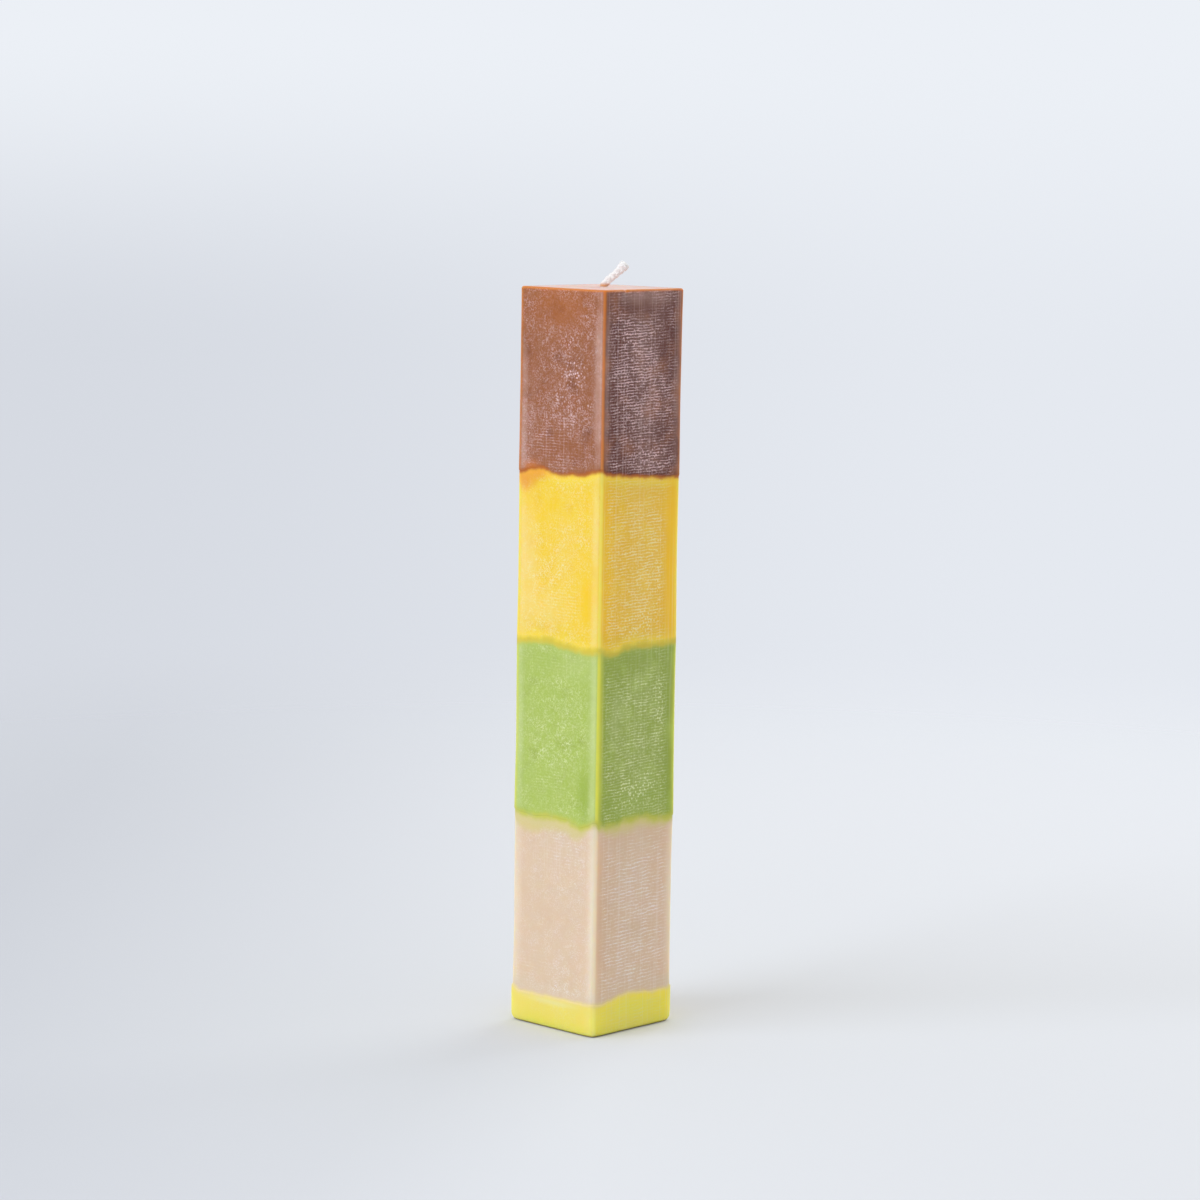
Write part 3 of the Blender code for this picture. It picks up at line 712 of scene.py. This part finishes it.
def buildWick():
    dice = random.Random(7)
    route = wickCentre()
    across = Vector((-math.sin(wickBraid["leanTowards"]), math.cos(wickBraid["leanTowards"]), 0))
    lengths = [0.0]
    for before, after in zip(route, route[1:]):
        lengths.append(lengths[-1] + (after - before).length)
    curve = bpy.data.curves.new("wickYarns", "CURVE")
    curve.dimensions = "3D"
    curve.bevel_depth = 1.0
    curve.bevel_resolution = 1
    curve.use_fill_caps = True
    ends = []
    core = curve.splines.new("POLY")
    core.points.add(len(route) - 1)
    for point, centre, along in zip(core.points, route, lengths):
        point.co = (*centre, 1)
        point.radius = wickBraid["coreRadius"] * swellAt(lengths[-1] - along)
    for strand in range(wickBraid["strands"]):
        for yarn in range(wickBraid["yarns"]):
            cut = dice.uniform(-0.3, 0.15)
            points = []
            for i, (centre, along) in enumerate(zip(route, lengths)):
                ahead = (route[min(i + 1, len(route) - 1)] - route[max(i - 1, 0)]).normalized()
                side = across.cross(ahead)
                left = lengths[-1] - along
                swell = swellAt(left)
                swing = 2 * math.pi * (along / wickBraid["pitch"] + strand / wickBraid["strands"])
                turn = 2 * math.pi * (along / wickBraid["twist"] + yarn / wickBraid["yarns"])
                place = centre + side * (wickBraid["width"] * swell * math.sin(swing))
                place += across * (wickBraid["depth"] * swell * math.sin(2 * swing))
                place += (side * math.cos(turn) + across * math.sin(turn)) * wickBraid["yarnOffset"] * swell
                if left < 0.01:
                    place += ahead * cut
                points.append((place, swell))
            spline = curve.splines.new("POLY")
            spline.points.add(len(points) - 1)
            for point, (place, swell) in zip(spline.points, points):
                point.co = (*place, 1)
                point.radius = wickBraid["yarnRadius"] * swell
            ends.append((points[-1][0], (route[-1] - route[-3]).normalized()))
    # Loose fibres at the cut
    for i in range(wickBraid["fibres"]):
        start, ahead = ends[i % len(ends)]
        spread, curl = (Vector([dice.uniform(-1, 1) for axis in "xyz"]) for draw in range(2))
        aim = (ahead * 0.9 + spread * wickBraid["fibreSpread"]).normalized()
        reach = wickBraid["fibreLength"] * dice.uniform(0.45, 1.0)
        root = start + spread * 0.35 - ahead * 0.6
        spline = curve.splines.new("POLY")
        spline.points.add(4)
        for k, point in enumerate(spline.points):
            t = k / 4
            point.co = (*(root + aim * reach * t + curl * wickBraid["fibreCurl"] * t * t), 1)
            point.radius = wickBraid["fibreRadius"] * (1 - 0.5 * t)
    loose = bpy.data.objects.new("wickYarns", curve)
    bpy.context.scene.collection.objects.link(loose)
    bpy.context.view_layer.update()
    mesh = bpy.data.meshes.new_from_object(loose.evaluated_get(bpy.context.evaluated_depsgraph_get()))
    bpy.data.objects.remove(loose)
    mesh.name = "braidedWick"
    mesh.transform(Matrix.Scale(millimetre, 4))
    mesh.shade_smooth()
    obj = bpy.data.objects.new("braidedWick", mesh)
    bpy.context.scene.collection.objects.link(obj)
    return obj


def cottonMaterial():
    # Bleached cotton yarn: matt and fibrous, primed with a little wax, tinted brown where it leaves the candle
    material, tree = newMaterial("bleachedBraidedCotton")
    place = inMillimetres(tree)
    # Fibres are 0.02 mm thick; drawn 0.12 mm so that they show, along the stub
    lie = addNode(tree, "ShaderNodeMapping", {}, {"Rotation": (0, 0, -wickBraid["leanTowards"])},
                  {"Vector": place})
    lean = addNode(tree, "ShaderNodeMapping", {}, {"Rotation": (0, math.radians(-45), 0), "Scale": (8, 8, 1.6)},
                   {"Vector": lie})
    fibres = addNode(tree, "ShaderNodeTexNoise", {}, {"Scale": 1.0, "Detail": 3.0}, {"Vector": lean})
    shade = addNode(tree, "ShaderNodeMapRange", {}, {"From Min": 0.35, "From Max": 0.65}, {"Value": fibres})
    colour = addNode(tree, "ShaderNodeMix", inColour,
                     {6: hexColour(wickBraid["plain"]), 7: hexColour(wickBraid["bright"])}, {0: shade}).outputs[2]
    height = addNode(tree, "ShaderNodeSeparateXYZ", links={0: place}).outputs[2]
    wet = addNode(tree, "ShaderNodeMapRange", smoothly,
                  {"From Min": wickBraid["stainFrom"], "From Max": wickBraid["stainTo"],
                   "To Min": 0.9, "To Max": 0.0}, {"Value": height})
    colour = addNode(tree, "ShaderNodeMix", inColour, {7: hexColour(wickBraid["stain"])},
                     {0: wet, 6: colour}).outputs[2]
    bump = addNode(tree, "ShaderNodeBump", {}, {"Strength": 0.2, "Distance": 0.1 * millimetre}, {"Height": fibres})
    shader = addNode(tree, "ShaderNodeBsdfPrincipled", {},
                     {"Roughness": 0.9, "IOR": 1.5, "Specular IOR Level": 0.3, "Sheen Weight": 1.0,
                      "Sheen Roughness": 0.6}, {"Base Color": colour, "Normal": bump})
    addNode(tree, "ShaderNodeOutputMaterial", links={"Surface": shader})
    return material


wick = buildWick()
wick.data.materials.append(cottonMaterial())
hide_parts("wick")
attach(wick, "root")
print("wick plaited:", len(wick.data.polygons), "faces")

# Pale sweep of paper: real floor near the candle, which takes its shadow, fading into the backdrop colour
studio = {
    "floorSize": 12.0, "floorReach": 0.24,
    # Painted light: the floor colours darken to the left and lighten to the right
    "floorLeft": "#c5ccd7", "floorMiddle": "#dbe2ec", "floorRight": "#dce3ed",
    "backdropLeft": "#d6dae2", "backdropRight": "#e5e9f0", "backdropTop": "#ecf0f6",
    "fadeFrom": 0.25, "fadeTo": 1.0,
    "skyLow": 0.53, "skyHigh": 0.93, "skyColour": "#fff9f2",
    "rightward": (0.7225, 0.6913, 0.0),
    "keyPlace": (-0.5, -1.7, 1.15), "keySize": 1.4, "keyPower": 19.4, "keyColour": "#f4f7fe",
    "rimPlace": (-0.2, 1.75, 0.9), "rimSize": 1.4, "rimPower": 13.0, "rimColour": "#fffcf6",
}


def seenDirectly(tree):
    # 1 for what the camera sees, straight, in a mirror or through glass; 0 for light on its way to the candle
    rays = addNode(tree, "ShaderNodeLightPath")
    seen = rays.outputs["Is Camera Ray"]
    for kind in ("Is Transmission Ray", "Is Glossy Ray"):
        seen = addNode(tree, "ShaderNodeMath", {"operation": "MAXIMUM"}, {}, {0: seen, 1: rays.outputs[kind]})
    return seen


def buildFloor():
    bm = bmesh.new()
    bmesh.ops.create_grid(bm, x_segments=8, y_segments=8, size=studio["floorSize"] / 2)
    mesh = bpy.data.meshes.new("paperSweep")
    bm.to_mesh(mesh)
    bm.free()
    floor = bpy.data.objects.new("paperSweep", mesh)
    bpy.context.scene.collection.objects.link(floor)
    material, tree = newMaterial("mattPaper")
    coords = addNode(tree, "ShaderNodeTexCoord")
    distance = addNode(tree, "ShaderNodeVectorMath", {"operation": "LENGTH"}, {}, {0: coords.outputs["Object"]})
    faded = addNode(tree, "ShaderNodeMapRange", smoothly,
                    {"From Min": studio["fadeFrom"], "From Max": studio["fadeTo"]},
                    {"Value": distance.outputs["Value"]})
    seen = addNode(tree, "ShaderNodeMath", times, {}, {0: seenDirectly(tree), 1: faded})
    # Painted light: the paper's colour lightens from left to right, for the light that falls more strongly on the
    # right
    across = addNode(tree, "ShaderNodeVectorMath", {"operation": "DOT_PRODUCT"}, {1: studio["rightward"]},
                     {0: coords.outputs["Object"]})
    side = addNode(tree, "ShaderNodeMapRange", {},
                   {"From Min": -studio["floorReach"], "From Max": studio["floorReach"]},
                   {"Value": across.outputs["Value"]})
    tone = addNode(tree, "ShaderNodeValToRGB", links={0: side})
    tone.color_ramp.elements.new(0.5)
    for element, part in zip(tone.color_ramp.elements, ("floorLeft", "floorMiddle", "floorRight")):
        element.color = hexColour(studio[part])
    paper = addNode(tree, "ShaderNodeBsdfPrincipled", {}, {"Roughness": 0.8, "Specular IOR Level": 0.1},
                    {"Base Color": tone})
    beyond = addNode(tree, "ShaderNodeBsdfTransparent")
    mixed = addNode(tree, "ShaderNodeMixShader", links={0: seen, 1: paper, 2: beyond})
    addNode(tree, "ShaderNodeOutputMaterial", links={"Surface": mixed})
    mesh.materials.append(material)


def buildLight():
    world = bpy.data.worlds.new("paperRoom")
    bpy.context.scene.world = world
    world.use_nodes = True
    tree = world.node_tree
    tree.nodes.clear()
    # The ceiling is brighter than the walls
    coords = addNode(tree, "ShaderNodeTexCoord")
    upward = addNode(tree, "ShaderNodeSeparateXYZ", links={0: coords.outputs["Generated"]}).outputs[2]
    bright = addNode(tree, "ShaderNodeMapRange", {}, {"To Min": studio["skyLow"], "To Max": studio["skyHigh"]},
                     {"Value": upward})
    sky = addNode(tree, "ShaderNodeBackground", {}, {"Color": hexColour(studio["skyColour"])},
                  {"Strength": bright})
    # The backdrop brightens to the right and to the top, over a few degrees
    across = addNode(tree, "ShaderNodeVectorMath", {"operation": "DOT_PRODUCT"}, {1: studio["rightward"]},
                     {0: coords.outputs["Generated"]})
    side = addNode(tree, "ShaderNodeMapRange", smoothly, {"From Min": -0.17, "From Max": 0.13},
                   {"Value": across.outputs["Value"]})
    level = addNode(tree, "ShaderNodeMix", inColour,
                    {6: hexColour(studio["backdropLeft"]), 7: hexColour(studio["backdropRight"])}, {0: side})
    above = addNode(tree, "ShaderNodeMapRange", smoothly, {"From Min": -0.06, "From Max": 0.03}, {"Value": upward})
    upper = addNode(tree, "ShaderNodeMix", inColour, {7: hexColour(studio["backdropTop"])},
                    {0: above, 6: level.outputs[2]})
    backdrop = addNode(tree, "ShaderNodeBackground", links={"Color": upper.outputs[2]})
    mixed = addNode(tree, "ShaderNodeMixShader", links={0: seenDirectly(tree), 1: sky, 2: backdrop})
    addNode(tree, "ShaderNodeOutputWorld", links={"Surface": mixed})

    # A window in front on the left, and the lit paper behind that shines through the candle's edges
    for name, place, size, power, colour in (
            ("windowLight", studio["keyPlace"], studio["keySize"], studio["keyPower"], studio["keyColour"]),
            ("paperGlow", studio["rimPlace"], studio["rimSize"], studio["rimPower"], studio["rimColour"])):
        lamp = bpy.data.lights.new(name, "AREA")
        lamp.shape = "SQUARE"
        lamp.size = size
        lamp.energy = power
        lamp.color = hexColour(colour)[:3]
        source = bpy.data.objects.new(name, lamp)
        source.location = place
        source.rotation_euler = (Vector((0, 0, 0.12)) - source.location).to_track_quat("-Z", "Y").to_euler()
        bpy.context.scene.collection.objects.link(source)


buildFloor()
buildLight()
print("studio lit")

# The camera, from the fit of the candle's corners in the photo
view = {
    "place": (0.860848, -0.901920, 0.304747), "right": (0.72244, 0.69124, 0.01598),
    "up": (-0.09761, 0.07908, 0.99208), "lens": 109.1,
}
lens = bpy.data.cameras.new("photoCamera")
lens.lens = view["lens"]
lens.sensor_width = 36.0
camera = bpy.data.objects.new("photoCamera", lens)
right, up = Vector(view["right"]).normalized(), Vector(view["up"]).normalized()
turned = Matrix((right, up, right.cross(up))).transposed().to_4x4()
camera.matrix_world = Matrix.Translation(view["place"]) @ turned
bpy.context.scene.collection.objects.link(camera)
bpy.context.scene.camera = camera
bpy.context.scene.view_settings.view_transform = "Standard"
